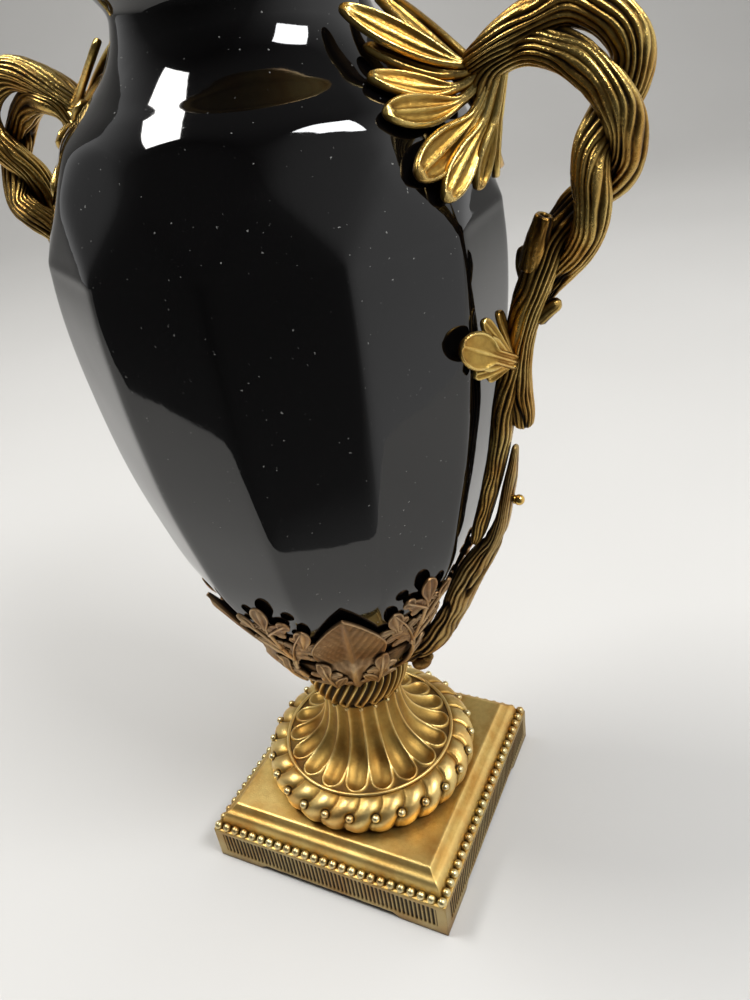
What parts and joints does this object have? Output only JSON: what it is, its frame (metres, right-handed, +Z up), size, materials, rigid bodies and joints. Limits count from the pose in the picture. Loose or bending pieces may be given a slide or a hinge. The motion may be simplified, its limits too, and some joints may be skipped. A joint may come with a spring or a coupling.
{
  "type": "ceramic vase",
  "caption": "Tall faceted black glazed ceramic vase in gilt bronze mounts, with twisted branch handles, a leaf cup, a fluted pearled foot, a square beaded plinth and a moulded rim",
  "frame": {"origin": "middle of the plinth's underside, at the height of its feet", "axes": "+Z up; +X towards the right handle, -Y towards the viewer's front"},
  "size_m": [0.2788, 0.1706, 0.446],
  "materials": {
    "plinth_bronze": "warm satin antique gilding, worn bright on the edges and greyer in the beading",
    "socle_bronze": "warm satin antique gilding with brown patina in the flutes",
    "collar_bronze": "antique gilding, dark brown between the strands",
    "leaf_bronze": "matte pinkish-brown gilding with brighter veins and edges",
    "black_glaze": "deep black, very glossy glaze",
    "rim_bronze": "satin antique gilding",
    "handle_bronze": "antique gilding, yellow on the crests and dark brown to black in the bark's grooves",
    "nut_brass": "polished brass"
  },
  "bodies": {
    "root": {"plinth": "plinth_bronze", "socle": "socle_bronze", "twisted_collar": "collar_bronze", "leaf_cup": "leaf_bronze", "vase_body": "black_glaze", "rim_collar": "rim_bronze", "handle_right": "handle_bronze", "handle_left": "handle_bronze", "nut_right": "nut_brass", "nut_left": "nut_brass"}
  },
  "joints": []
}
